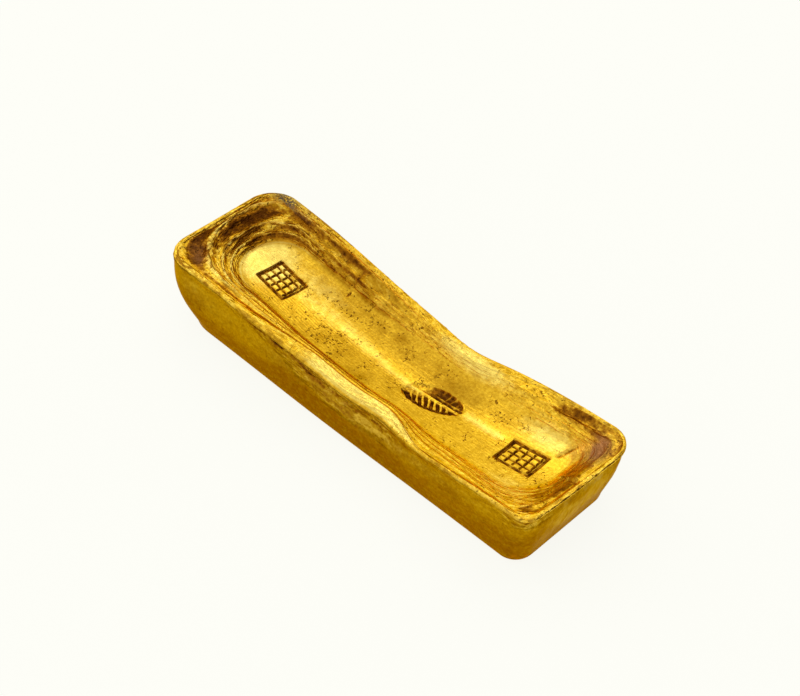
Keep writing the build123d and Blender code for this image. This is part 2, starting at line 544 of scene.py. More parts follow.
def right_end_relief(t, y, toward_end, ragged):
    """The hollow under the right end's rim, and its hammered face."""
    hollow = END_HOLLOW_DEPTH * bell(t, 0.09, 0.055) * toward_end**2 * ragged
    blows = HAMMERED * wobble(y * 1.3, 11 * t, 1.6, 16, 3) * toward_end * belly_share(t)
    return blows - hollow


def wall_offset(t, x, y, out):
    """How far the wall stands out from the straight line between rim and foot."""
    round_wall = belly_share(t)
    ragged = 1 + 0.5 * wobble(x, y, 2.4, 14)
    offset = BELLY * round_wall**1.5
    offset += LIP * bell(t, 0.02, 0.03) * (1 + wobble(x, y, 1.2, 15))
    offset += UNEVEN * wobble(x + 3 * t, y * 1.7 + 9 * t, 8.0, 2) * round_wall
    offset += near_wall_relief(t, x, ragged) * max(0.0, -out.y)
    offset += right_end_relief(t, y, max(0.0, out.x), ragged)
    return offset + CORNER_BULGE * near_left_corner(x, y, CORNER_BULGE_SPREAD) * round_wall


print("crevice under the near rim, mm down:", [round(crevice_depth(x), 2) for x in (-20, -5, 5)])

# %% [markdown]
# The walls grow from the border of the sheet. The border is extruded again and again, and
# each new loop is moved to its own height and inset. The loops lie closer together near the
# rim, where the fine relief is. The last loops turn the round foot, and one flat face
# closes the underside, which is how a mould leaves it.

# %% The walls and the foot
WALL_LOOPS = (
    0.02, 0.045, 0.07, 0.10, 0.13, 0.16, 0.20, 0.25,
    0.31, 0.39, 0.48, 0.58, 0.69, 0.80, 0.90, 1.0,
)
FOOT_TURN = (20, 40, 60, 78, 90)
UNDER_INSET, UNDER_HEIGHT = 1.2, 0.05

loop = [edge for edge in skin.edges if edge.is_boundary]
start = {vert: (vert.co.copy(), straight[vert]) for edge in loop for vert in edge.verts}
print("border:", len(loop), "edges")


def draw_loop(edges, place):
    """Extrudes a loop of edges once and moves each new vertex to place(what it grew from)."""
    grown = bmesh.ops.extrude_edge_only(skin, edges=edges)["geom"]
    new_edges = [g for g in grown if isinstance(g, bmesh.types.BMEdge) and g.is_boundary]
    new_start = {}
    for vert in (g for g in grown if isinstance(g, bmesh.types.BMVert)):
        source = next(e.other_vert(vert) for e in vert.link_edges if e.other_vert(vert) in start)
        new_start[vert] = start[source]
        vert.co = place(*start[source])
        vert[ring_mm] = vert.co.z - start[source][0].z
        vert[level_of] = 0.0
        vert[across_of] = vert[ring_mm]
    return new_edges, new_start


def on_wall(t):
    """Places a loop at the share t of the way down the wall."""

    def place(rim, flat):
        foot, out = foot_point(*flat)
        point = rim.lerp(Vector((foot.x, foot.y, FOOT_RADIUS)), t)
        return point + out * wall_offset(t, *flat, out)

    return place


def on_foot(inset, height):
    """Places a loop inside the foot's outline, at a height."""

    def place(rim, flat):
        foot, out = foot_point(*flat)
        foot = foot - out * inset
        return Vector((foot.x, foot.y, height))

    return place


for t in WALL_LOOPS:
    loop, start = draw_loop(loop, on_wall(t))
for degrees in FOOT_TURN:
    turn = math.radians(degrees)
    inset, height = FOOT_RADIUS * (1 - math.cos(turn)), FOOT_RADIUS * (1 - math.sin(turn))
    loop, start = draw_loop(loop, on_foot(inset, height))
loop, start = draw_loop(loop, on_foot(FOOT_RADIUS + UNDER_INSET, UNDER_HEIGHT))
bmesh.ops.contextual_create(skin, geom=loop)
bmesh.ops.recalc_face_normals(skin, faces=skin.faces)
open_edges = sum(edge.is_boundary for edge in skin.edges)
print("closed skin:", len(skin.faces), "faces, open edges:", open_edges)

# %% [markdown]
# The marks. Punches leave sunk fields, two square ones and a long oval one. Each has a
# place and a turn, and its shape is worked out in its own two coordinates, along and across
# the mark. All of them are made of grooves, so a groove is the first thing to define.

# %% Places of the marks, and their grooves
# Each place is x, y and the turn in degrees.
SQUARE_MARKS = ((-27.4, -0.35, -5.0), (30.9, -0.75, 4.0))
OVAL_MARK = (10.4, -0.75, 15.0)
# Past this distance from its outline a mark changes nothing.
FIELD_EDGE = 0.3


def in_mark(place, X, Y):
    """Coordinates along and across a mark."""
    turn = math.radians(place[2])
    dx, dy = X - place[0], Y - place[1]
    return dx * math.cos(turn) + dy * math.sin(turn), -dx * math.sin(turn) + dy * math.cos(turn)


def groove(distance, width):
    return 1 - fade(abs(distance), width * 0.25, width * 0.75)


def even_grooves(value, gap, width):
    """Grooves of one width, evenly spaced."""
    return groove((value / gap - round(value / gap)) * gap, width)


print("a groove's middle and side:", groove(0.0, 0.4), groove(0.3, 0.4))

# %% [markdown]
# The square marks hold a plain lattice inside a frame. The function gives the depth at a
# point and how much dirt fills it. A little noise bends the lines, as a hand-cut punch
# would, and the field between them is pressed in only a little.

# %% The square marks
SQUARE_DEPTH = 0.45
SQUARE_HALF = (3.75, 2.9)
LATTICE_GAPS, LATTICE_WIDTH = (1.55, 1.35), 0.34


def square_mark(p, q):
    wavy = 0.12 * wobble(p, q, 1.5, 21)
    beyond = max(abs(p) - SQUARE_HALF[0], abs(q) - SQUARE_HALF[1]) + 0.4 * wavy
    if beyond > FIELD_EDGE:
        return 0.0, 0.0
    bars_up = even_grooves(p + 0.2 + wavy, LATTICE_GAPS[0], LATTICE_WIDTH)
    bars_across = even_grooves(q - 0.1 - wavy, LATTICE_GAPS[1], LATTICE_WIDTH)
    lattice = max(bars_up, bars_across) * (1 - fade(beyond, -0.75, -0.6))
    sunk = max(groove(beyond + 0.27, 0.62), lattice)
    field = fade(beyond, 0.2, -0.15)
    fill = field * sunk * (0.75 + 0.5 * wobble(p, q, 1.2, 23))
    return SQUARE_DEPTH * field * (0.15 + 0.85 * sunk), fill


print("depth in the square mark's frame, mm:", round(square_mark(3.6, 0.0)[0], 2))

# %% [markdown]
# The oval mark has two halves. Slanting bars stand in the near one. The far one is a deep
# hollow with a ridge and a few strokes, and it is faint at its left, where the punch hardly
# bit.

# %% The oval mark
OVAL_DEPTH = 0.55
OVAL_HALF = (5.65, 2.7)
BAR_GAP, BAR_WIDTH = 1.15, 0.55
STROKE_GAP, STROKE_WIDTH = 1.3, 0.45


def oval_mark(p, q):
    wavy = 0.15 * wobble(p, q, 1.4, 22)
    beyond = (math.hypot(p / OVAL_HALF[0], q / OVAL_HALF[1]) - 1) * OVAL_HALF[1] + 0.5 * wavy
    if beyond > FIELD_EDGE:
        return 0.0, 0.0
    # A line along the mark parts its near half, with bars, from its hollow far half.
    split = q + 0.18 * p - 0.25
    bars = even_grooves(p + 0.45 * q + wavy, BAR_GAP, BAR_WIDTH)
    near_half = max(bars, groove(beyond + 0.35, 0.5)) * fade(split, -0.15, -0.5)
    strokes = even_grooves(p - 0.5 * q - wavy, STROKE_GAP, STROKE_WIDTH) * fade(p, 0.5, 1.5)
    ridge = groove(split - 0.95 + 0.3 * wavy, 0.42) * fade(p, -0.5, 0.5)
    far_half = fade(split, 0.15, 0.5) * (0.55 + 0.45 * fade(p, -1.5, 1.0))
    far_half *= 1 - 0.6 * max(ridge, 0.7 * strokes)
    faint = 0.35 + 0.65 * fade(p, -4.2, 0.5) if q > -0.4 else 1.0
    sunk = max(near_half, far_half) * faint
    field = fade(beyond, 0.2, -0.2)
    return OVAL_DEPTH * field * (0.2 + 0.8 * sunk), field * sunk


print("depth in the oval mark's hollow, mm:", round(oval_mark(2.0, 1.6)[0], 2))

# %% [markdown]
# The marks are small beside the bar, so only the faces under them are cut finer, by
# subdividing their edges. The fine vertices are then pushed down like metal under a punch.
# A sunk field as a separate piece would show a seam round it, and this keeps one skin.

# %% Strike the marks
# Each mark's place, its shape, and how far along it its faces are cut finer.
MARKS = [(place, square_mark, 4.3) for place in SQUARE_MARKS] + [(OVAL_MARK, oval_mark, 5.9)]
MARK_REACH_ACROSS = 3.4
# Only the top lies above this height inside a mark's field.
TOP_ABOVE = 5.0


def over_mark(point, place, reach):
    """Whether a point of the top lies over a mark or just round it."""
    p, q = in_mark(place, point.x, point.y)
    offsets = (point.x - place[0], point.y - place[1], p)
    return abs(q) < MARK_REACH_ACROSS and all(abs(offset) < reach for offset in offsets)


for place, shape, reach in MARKS:
    top = (vert for vert in skin.verts if vert.co.z > TOP_ABOVE)
    under = {vert for vert in top if over_mark(vert.co, place, reach)}
    edges = [e for e in skin.edges if e.verts[0] in under and e.verts[1] in under]
    bmesh.ops.subdivide_edges(skin, edges=edges, cuts=1, use_grid_fill=True)
print("with fine marks:", len(skin.faces), "faces")

dark_fill = {}
for vert in skin.verts:
    if vert.co.z < TOP_ABOVE:
        continue
    for place, shape, reach in MARKS:
        p, q = in_mark(place, vert.co.x, vert.co.y)
        if abs(p) < reach and abs(q) < MARK_REACH_ACROSS:
            depth, fill = shape(p, q)
            rough = 1 + 0.35 * wobble(vert.co.x, vert.co.y, 1.1, 6)
            vert.co.z -= depth * rough
            if fill > 0:
                dark_fill[vert] = fill * min(1.0, rough)
print("vertices with dirt in a mark:", len(dark_fill))

# %% [markdown]
# The finish follows the shape: dirt and red-brown tarnish stay in the hollows, the lips of
# the steps are rubbed bright, and the walls keep a duller cast skin. Light and shade are
# painted in too: dark shade on the risers, inside the right end and in the walls' crevices,
# deeper gold on the far slope, darker walls, and highlights on the pool, the crease, the
# shoulders and the lips. One noise over the whole bar could not do that, so each vertex
# carries its own values, and the material reads them. The first vertex colour holds dark
# tarnish with painted shade, orange bloom, purple-grey film and cast wall.
#
# Dirt and painted shade come first. They lie on the risers, which have a level each, and in
# spots of them.

# %% Where dirt and painted shade gather on the top
# The level and the spread of a hollow ring.
GROOVE, RECESS = (0.09, 0.025), (0.11, 0.045)
FIRST_RISER, SECOND_RISER, THIRD_RISER = (0.34, 0.065), (0.61, 0.06), (0.86, 0.055)
# Dirt and painted shade at the left end: how much, on which ring, and the spot on it.
DIRT_AND_SHADE = (
    (1.0, RECESS, (-40.3, -7.6, 2.6, 2.6)),
    (1.7, FIRST_RISER, (-40.2, 3.4, 3.0, 3.8)),
    (0.55, FIRST_RISER, (-38.6, -5.6, 2.6, 2.6)),
    (1.15, SECOND_RISER, (-38.8, -0.8, 2.8, 4.6)),
    (0.60, THIRD_RISER, (-36.8, 4.5, 3.0, 4.0)),
)


def far_recess(X, Y, level):
    """The long hollow behind the rim at the far right corner."""
    return between(level, 0.0, 0.03, 0.20, 0.32) * fade(X, 25, 33) * fade(Y, 6.5, 8.0)


# Dirt and tarnish in the hollows, with painted shade on the risers and on the slope inside the
# right end.
def dark_tarnish_and_shade(X, Y, level, ragged):
    dark = sum(much * bell(level, *ring) * spot(X, Y, *place) for much, ring, place in DIRT_AND_SHADE)
    dark += 0.55 * bell(level, *RECESS) * fade(X, -38, -41)
    if Y > 0:
        first = 0.30 * bell(level, *FIRST_RISER) + 0.75 * bell(level, 0.26, 0.028)
        dark += first * between(X, -39, -34, -22, -12)
        second = 0.20 * bell(level, *SECOND_RISER) + 0.65 * bell(level, 0.55, 0.025)
        dark += (second + 0.55 * bell(level, 0.80, 0.025)) * fade(X, -6, -20)
    else:
        dark += 0.40 * bell(level, *GROOVE) * fade(X, -14, -24)
    dark += 0.55 * far_recess(X, Y, level)
    dark += 0.6 * on_slot(X, Y, 0.16, 0.8) + 0.55 * on_crack(X, Y, 0.14)
    dark += 0.4 * spot(X, Y, 41.6, -9.6, 1.4, 1.4) * ragged
    # Painted shade on the slope inside the right end.
    right_slope = between(level, 0.06, 0.2, 0.6, 0.95) * fade(X, 38, 39.5)
    dark += 0.42 * right_slope * between(Y, -8, -5, 3, 6)
    # Only the left end's deepest places may go nearly black.
    deepest = 0.22 * bell(level, *FIRST_RISER) + 0.16 * bell(level, *RECESS)
    most = 0.70 + deepest * fade(X, -20, -36)
    return min(most, max(0.0, dark * (0.35 + 1.2 * ragged)))


print("dirt on the left end's first riser:", round(dark_tarnish_and_shade(-40, 3, 0.34, 0.5), 2))

# %% [markdown]
# Three thinner layers lie beside the dirt. Orange bloom follows the groove behind the near
# rim and the far slope. A purple-grey film lies at two corners, as heat leaves it, and a
# patch of soot lies on the far left rim. Each is a few spots and rings, made ragged by the
# same noise as the dirt, so that their edges agree.

# %% Bloom, film and soot
LEFT_FILM, RIGHT_FILM = (-39.2, -8.6, 2.0, 1.6), (40.2, 7.6, 1.7, 2.2)
SOOT_SPOT, SOOT_REACH = (-38.6, 11.8, 3.2, 1.0), 2.2


def orange_bloom(X, Y, level, ragged):
    bloom = 0.5 * spot(X, Y, 37.6, 6.6, 1.8, 2.4) * fade(level, 0.10, 0.3)
    bloom += 0.40 * far_recess(X, Y, level) + 0.20 * spot(X, Y, 40.6, -10.2, 1.6, 1.4)
    if Y > 0:
        bloom += 0.45 * bell(level, 0.14, 0.05) * fade(X, 2, -8)
        bloom += 0.35 * bell(level, 0.95, 0.07) * fade(X, -20, -36)
    else:
        bloom += 0.75 * bell(level, *GROOVE) * fade(X, -14, -24)
    return clamped(bloom * (0.45 + ragged))


def purple_film(X, Y, level, ragged):
    film = 0.6 * bell(level, *RECESS) * spot(X, Y, *LEFT_FILM)
    film += 1.3 * spot(X, Y, *RIGHT_FILM) * fade(level, 0.01, 0.06)
    return clamped(film * (0.55 + 0.7 * ragged))


def soot_patch(X, Y, outside):
    if outside >= SOOT_REACH:
        return 0.0
    return clamped(0.9 * spot(X, Y, *SOOT_SPOT) * (0.9 + 0.9 * wobble(X, Y, 4.5, 12, 3)))


print("film at the far right corner:", round(purple_film(40.2, 7.6, 0.1, 0.5), 2))

# %% [markdown]
# Rubbed gold is where fingers, cloth and other bars touched: the floor's pool and crease,
# the shoulders, the rim and the lips. It is paler, with fewer pits and lines, and on the
# pool, the crease, the shoulders, the lips and a few spots the paler colour is also a
# painted highlight. The strongest of these counts at each point, so they are joined with
# max and not added up.

# %% Where the gold is rubbed bright and highlights are painted
FLOOR_POOL = (-32.6, 0.6, 3.8, 3.6)
# How strongly each spot is rubbed and painted as a highlight, and where it is.
RUBBED_AND_HIGHLIGHT_SPOTS = (
    (1.1, (10.5, 8.9, 6.0, 1.1)),
    (0.75, (31.5, 5.4, 4.6, 1.9)),
    (0.45, (34.5, -7.6, 4.5, 2.2)),
    (0.55, (-22.0, 3.4, 6.0, 1.9)),
)
LIP_LEVELS = (0.20, 0.50, 0.75, 0.99)


# Painted highlight: this mask also brightens the pool, the crease, the shoulders, the lips and a
# few spots, where light would shine.
def rubbed_and_highlight(X, Y, level, outside):
    left = fade(X, -22, -34)
    pool = 1.5 * spot(X, Y, *FLOOR_POOL) * fade(level, 0.98, 1.06)
    # The crease's rubbed and painted highlight is broad at the pool, narrows to the oval mark and
    # goes on beyond it.
    middle, width = 0.4 - 1.6 * fade(X, -14, 6), 1.8 - 1.1 * fade(X, -22, 6)
    crease = 0.48 * bell(Y, middle, width) * between(X, -31, -24, 7, 10)
    crease += 0.6 * bell(Y, 0.5, 0.8) * between(X, 14.5, 18, 24, 27)
    spots = max(much * spot(X, Y, *place) for much, place in RUBBED_AND_HIGHLIGHT_SPOTS)
    lips = sum(bell(level, at, 0.024) for at in LIP_LEVELS) * (0.2 + 0.75 * left)
    rim = (0.20 + 0.15 * left + 0.10 * fade(X, 14, 30)) * fade(level, 0.04, 0.0)
    if Y < 0:
        shoulder = 0.8 * fade(level, 0.1, 0.0) * fade(outside, 0.1, 0.5)
        rim = max(rim, shoulder * between(X, -13, -6, 14, 22))
        lips = max(lips, 0.45 * bell(level, 0.24, 0.06) * fade(X, 0, -20))
    return min(1.0, max(pool, crease, spots, lips, rim))


print("rubbed at the pool and beside it:", [round(rubbed_and_highlight(x, 0, 1.12, 9), 2) for x in (-32, -18)])

# %% [markdown]
# The floor's tones. Beside the crease the gold is deeper, and small pits lie close together
# in a few groups. On the far slope and on the slope inside the right end the deeper gold is
# painted shade. The folded skin is strongest at the left steps. The second vertex colour
# holds rubbed gold with painted highlights, ring lines, deep gold with painted shade, and
# soot, and two more values hold the folds and the pit groups.

# %% Deep gold with painted shade, pit groups and folds
PIT_GROUPS = (
    (-11.0, -1.9), (-11.6, -4.1), (-9.0, -5.6), (-13.0, -5.2), (-1.5, -6.3), (-14.0, 3.0),
    (-19.2, 3.5), (-8.0, 4.9), (-2.3, 5.3), (7.9, 5.4), (-0.8, 8.7), (22.0, 3.8), (36.5, -3.4),
)
PIT_GROUP_SPREAD = (1.5, 0.7)
# How deep in tone each spot of the floor is, and where it is.
DEEP_SPOTS = (
    (0.4, (-27.0, -5.6, 6.0, 1.8)),
    (0.7, (13.0, 3.3, 3.2, 2.0)),
    (0.55, (-1.0, 4.2, 9.0, 1.8)),
    (0.45, (-3.0, -5.4, 11.0, 2.2)),
    (0.35, (0.0, -2.6, 8.0, 1.0)),
    (0.35, (-20.0, 5.5, 6.0, 1.6)),
)
LINED_CORNER = (37.0, -8.6, 4.5, 3.6)


def pit_group(X, Y):
    return min(1.0, sum(spot(X, Y, x, y, *PIT_GROUP_SPREAD) for x, y in PIT_GROUPS))


def deep_tone_and_shade(X, Y, level):
    tone = 0.45 * pit_group(X, Y) + sum(much * spot(X, Y, *place) for much, place in DEEP_SPOTS)
    # Painted shade: deeper gold on the slope inside the right end and on the far slope.
    right_slope = between(level, 0.1, 0.3, 0.75, 1.0) * fade(X, 37.5, 39.5)
    tone += 1.2 * right_slope * (Y < 7) * fade(Y, -9.5, -6)
    tone += 0.9 * (Y > 0) * between(level, 0.12, 0.26, 0.95, 1.1) * fade(X, -2, -10)
    return min(1.0, tone * (0.7 + 0.6 * wobble(X, Y, 3.0, 13, 3)))


def ring_lines(X, Y, level):
    """How clear the fine lines are that follow the rings: most on the near half of the floor."""
    floor_lines = (0.25 + 0.75 * fade(Y, 2.0, -3.0)) * fade(level, 0.3, 0.8)
    corner_lines = 1.6 * spot(X, Y, *LINED_CORNER) * fade(level, 0.1, 0.3)
    return min(1.0, 0.6 * max(floor_lines, corner_lines))


def crumpled_skin(X, Y, level):
    left, right = fade(X, -22, -35), fade(X, 26, 36)
    steps = between(level, 0.0, 0.05, 0.8, 1.06)
    amount = steps * mix(0.45 if Y > 0 else 0.30, 1.0, left)
    right_end = 0.35 * steps + 0.8 * spot(X, Y, 41.0, -10.5, 2.2, 2.0)
    amount = mix(amount, right_end, right * (Y < 4))
    amount = max(amount, 0.8 * bell(level, 0.06, 0.06) * (Y < 0) * fade(X, -6, -16))
    rim = fade(level, 0.05, 0.0) * (0.6 + 0.35 * left)
    shoulder = bell(X, 2, 9) * (Y < 0) + bell(X, 10, 7) * (Y > 0) * 0.6
    return min(1.0, max(amount, rim) * (1 - 0.7 * shoulder))


print("folds at the left end and middle:", [round(crumpled_skin(x, 0, 0.3), 2) for x in (-40, 0)])

# %% [markdown]
# The walls. An olive, rough skin covers the upper part of the near wall down to an uneven
# ledge. Shade is painted dark in the crevice, along the ledge and under the right end's
# rim, and there are red stains near the foot. On the walls the second vertex colour means
# other things than on the top: its first value is the paler middle of the right end, and
# its third the olive skin.

# %% The finish of the walls, with their painted shade
LEDGE_SPAN = (-30, -20, 6, 14)
END_FACE = (1.0, 5.2, 6.5, 2.8)


def ledge_depth(X):
    """How far down the near wall its rough skin reaches; below it the wall is smooth."""
    return 0.9 + 2.9 * fade(X, -30, 1) + 0.5 * wobble(X, 0.0, 4.0, 33)


def wall_skin(X, Y, depth):
    if Y > 0:
        return 0.0
    above_ledge = fade(depth, ledge_depth(X) + 0.25, ledge_depth(X) - 0.25)
    return above_ledge * (1 - 0.8 * fade(X, 10, 16)) * fade(X, -36, -20)


def wall_finish_and_shade(X, Y, depth):
    """Painted shade as dark, in the crevice, along the ledge and under the right end's rim;
    orange bloom, no film, and full cast wall.
    """
    ragged = 0.5 + 1.1 * wobble(X, Y + 2 * depth, 2.0, 17, 3)
    # Painted shade: dark under the right end's rim, and on the near side in the crevice and along
    # the ledge.
    under_end_rim = bell(depth, 0.62, 0.16) * fade(X, 42.3, 43.0) * fade(Y, -6, -10)
    dark = 0.7 * under_end_rim * (0.5 + ragged)
    if Y < 0:
        crevice = bell(depth, crevice_depth(X), 0.17) * between(X, *CREVICE_SPAN)
        ledge = bell(depth, ledge_depth(X), 0.22) * between(X, *LEDGE_SPAN)
        dark += 0.75 * crevice * (0.4 + ragged) + 0.30 * ledge * ragged
    bloom = 0.55 * fade(depth, 9, 13) * max(0.0, ragged - 0.35)
    return clamped(dark), clamped(bloom), 0.0, 1.0


def wall_shine(X, Y, depth):
    """The paler middle of the right end's face."""
    patchy = 0.75 + 0.9 * wobble(Y, depth, 5.0, 31, 3)
    return clamped(1.1 * fade(X, 41.0, 42.6) * spot(Y, depth, *END_FACE) * patchy)


def wall_folds(X, Y, depth):
    """The skin of the wall is crumpled only under the near rim and under the right end's."""
    near = wall_skin(X, Y, depth) * (0.35 + 0.4 * fade(X, -24, -12))
    corner = 0.8 * bell(depth, 1.0, 1.0) * spot(X, Y, 43, -12, 4, 4)
    under_rim = 0.22 * bell(depth, 0.3, 0.8) * (1 - 0.8 * fade(X, 41, 42.5))
    return min(1.0, near + corner + under_rim)


print("ledge on the near wall, mm down:", [round(ledge_depth(x), 1) for x in (-25, -10, 5)])

# %% [markdown]
# Every vertex now gets its values. The layer "ring_mm" is the distance inside the rim on
# the top and minus the depth on the walls, so its sign tells the two apart. Where dirt
# fills a mark, it covers what was there. Then the mesh is scaled to metres, and shaded
# smooth, because at this density the faces give the relief and need no flat facets.

# %% Values for each vertex, and the finished mesh
for vert in skin.verts:
    X, Y, outside, level = vert.co.x, vert.co.y, vert[ring_mm], vert[level_of]
    if outside > -0.001:
        ragged = 0.5 + 0.9 * along_rings(X, Y, vert[across_of], 5.5, 1.4, 11, 4)
        dark = dark_tarnish_and_shade(X, Y, level, ragged)
        bloom, film = orange_bloom(X, Y, level, ragged), purple_film(X, Y, level, ragged)
        edge_wall = 0.75 * fade(outside, 0.22, 0.0) * (1 - 0.9 * fade(X, 41.5, 43))
        vert[finish_and_painted_shade] = (dark, bloom, film, edge_wall)
        bright = rubbed_and_highlight(X, Y, level, outside) * (1 - 0.6 * dark)
        lines, tone = ring_lines(X, Y, level), deep_tone_and_shade(X, Y, level)
        vert[wear_and_painted_light] = (bright, lines, tone, soot_patch(X, Y, outside))
        vert[folds_of] = crumpled_skin(X, Y, level)
        vert[pitted] = pit_group(X, Y)
    else:
        depth = -outside
        vert[finish_and_painted_shade] = wall_finish_and_shade(X, Y, depth)
        vert[wear_and_painted_light] = (wall_shine(X, Y, depth), 0.0, wall_skin(X, Y, depth), 0.0)
        vert[folds_of] = wall_folds(X, Y, depth)
for vert, fill in dark_fill.items():
    (dark, bloom, _, _), (bright, _, tone, _) = vert[finish_and_painted_shade], vert[wear_and_painted_light]
    vert[finish_and_painted_shade] = (min(1.0, max(dark, 0.95 * fill)), bloom * (1 - fill), 0.0, 0.0)
    vert[wear_and_painted_light] = (bright * (1 - fill), 0.0, tone, 0.0)

for vert in skin.verts:
    vert.co *= MM
mesh = bpy.data.meshes.new("ingot_cast")
skin.to_mesh(mesh)
skin.free()
for face in mesh.polygons:
    face.use_smooth = True
ingot_cast = bpy.data.objects.new("ingot_cast", mesh)
bpy.context.scene.collection.objects.link(ingot_cast)
mesh.calc_loop_triangles()
print("ingot_cast:", len(mesh.vertices), "vertices,", len(mesh.loop_triangles), "triangles")

# %% [markdown]
# The gold is one Principled material. Its colour, roughness and bump all come from the
# same few patterns, so a pit is dark and deep at once. A script that builds many nodes is
# easier to read with helpers: each takes sockets or plain numbers and gives back the
# socket of its result.

# %% Shader helpers
gold = bpy.data.materials.new("old_gold")
gold.use_nodes = True
nodes, links = gold.node_tree.nodes, gold.node_tree.links
nodes.clear()


def node(kind, **settings):
    made = nodes.new("ShaderNode" + kind)
    for name, value in settings.items():
        setattr(made, name, value)
    return made


def feed(socket, value):
    """Links a socket to the input, or sets the input to a number or a colour."""
    if isinstance(value, (int, float)):
        socket.default_value = value
    elif isinstance(value, tuple):
        socket.default_value = (*value, 1.0)
    else:
        links.new(value, socket)


def math_node(operation, a, b=None, clamp=False):
    made = node("Math", operation=operation, use_clamp=clamp)
    feed(made.inputs[0], a)
    if b is not None:
        feed(made.inputs[1], b)
    return made.outputs[0]


def times(first, *others):
    for other in others:
        first = math_node("MULTIPLY", first, other)
    return first


def plus(first, *others):
    for other in others:
        first = math_node("ADD", first, other)
    return first


def less(amount, value, share=1.0):
    """The amount, less a share of the value."""
    return math_node("SUBTRACT", amount, times(value, share))


def larger(a, b):
    return math_node("MAXIMUM", a, b)


def colour_mix(factor, a, b, blend="MIX"):
    made = node("Mix", data_type="RGBA", blend_type=blend)
    feed(made.inputs[0], factor)
    feed(made.inputs[6], a)
    feed(made.inputs[7], b)
    return made.outputs[2]


def ramp(value, low, high):
    """0 below low, 1 above high, soft between them."""
    made = node("MapRange", interpolation_type="SMOOTHSTEP")
    feed(made.inputs[0], value)
    feed(made.inputs[1], low)
    feed(made.inputs[2], high)
    return made.outputs[0]


print("material:", gold.name)

# %% [markdown]
# The patterns read Object coordinates, so they stay put on the bar whatever its UVs are.
# A scale of 1000 is one cell to the millimetre. A stretched noise gives streaks along the
# bar. "Around" adds noise round a vertex value, so that its soft edge becomes ragged.

# %% Vertex values and patterns
position = node("TexCoord").outputs["Object"]


def grain(scale, detail=3.0, roughness=0.55, stretch=None):
    made = node("TexNoise")
    feed(made.inputs["Scale"], scale)
    feed(made.inputs["Detail"], detail)
    feed(made.inputs["Roughness"], roughness)
    source = position
    if stretch:
        mapping = node("Mapping")
        mapping.inputs["Scale"].default_value = stretch
        feed(mapping.inputs["Vector"], position)
        source = mapping.outputs[0]
    feed(made.inputs["Vector"], source)
    return made.outputs["Fac"]


def around(value, pattern, amount):
    """The value with noise added round it, kept between 0 and 1."""
    return math_node("ADD", value, times(less(pattern, 0.5), amount), clamp=True)


def four_values(name):
    """The four values of a vertex colour."""
    attribute = node("Attribute", attribute_name=name)
    parts = node("SeparateColor")
    feed(parts.inputs[0], attribute.outputs["Color"])
    return (*parts.outputs, attribute.outputs["Alpha"])


dark, bloom, film, wall = four_values("finish_and_painted_shade")
bright, line_share, deep, soot = four_values("wear_and_painted_light")
folds = node("Attribute", attribute_name="folds").outputs["Fac"]
across = node("Attribute", attribute_name="across").outputs["Fac"]
grouped = node("Attribute", attribute_name="pitted").outputs["Fac"]

clouds = grain(260, 4.0, 0.6)
medium = grain(900, 3.0, 0.6)
fine = grain(2400, 2.0, 0.6)
streaks = grain(2200, 3.0, 0.6, stretch=(0.12, 1.0, 1.0))
place_node = node("SeparateXYZ")
feed(place_node.inputs[0], position)
place_x, place_y, place_z = place_node.outputs
print("patterns and values:", len(nodes), "nodes so far")

# %% [markdown]
# The top's colour. Colours are linear, and brighter than gold looks on a screen, because a
# metal's colour only tints what it reflects. The floor is a full yellow that goes pale
# where it is rubbed and where a highlight is painted, and brown-gold in clouds and in
# streaks from the pour, in deeper spots, and where shade is painted on the far slope and
# inside the right end.

# %% The colour of the top
FLOOR_GOLD = (0.86, 0.51, 0.028)
RUBBED_AND_HIGHLIGHT_GOLD = (0.91, 0.67, 0.13)
DEEP_GOLD = (0.37, 0.165, 0.003)

rubbed_and_highlight_here = ramp(around(bright, medium, 0.55), 0.12, 0.88)
deep_here = times(around(deep, medium, 0.6), ramp(deep, 0.02, 0.2))
# Painted highlight: rubbed places and painted highlights are mixed to a paler gold.
top_colour = colour_mix(rubbed_and_highlight_here, FLOOR_GOLD, RUBBED_AND_HIGHLIGHT_GOLD)
# Partly painted shade: deeper gold where the far slope and the right end's slope are darkened.
top_colour = colour_mix(deep_here, top_colour, DEEP_GOLD)
cloudy = times(ramp(clouds, 0.48, 0.72), less(0.27, rubbed_and_highlight_here, 0.24))
top_colour = colour_mix(cloudy, top_colour, DEEP_GOLD)
streaky = times(ramp(streaks, 0.50, 0.68), less(0.24, rubbed_and_highlight_here, 0.18))
top_colour = colour_mix(streaky, top_colour, DEEP_GOLD)
print("top colour:", len(nodes), "nodes")

# %% [markdown]
# The walls' colour. They were never rubbed and keep a duller cast skin; their deeper ochre,
# browner towards the foot, is also painted shade, a darker reflection than the pale floor
# gives. They have olive and red-brown flecks. The right end's face is paler and scratched.

# %% The colour of the walls
WALL_TOP = 0.014
WALL_HIGH_LIT, WALL_LOW_SHADED = (0.50, 0.275, 0.009), (0.27, 0.100, 0.001)
WALL_OLIVE, WALL_RED = (0.50, 0.33, 0.022), (0.23, 0.085, 0.002)
END_PALE = (0.54, 0.36, 0.075)
WALL_SKIN = (0.46, 0.25, 0.009)

slow = grain(120, 5.0, 0.6, stretch=(0.45, 1.0, 1.0))
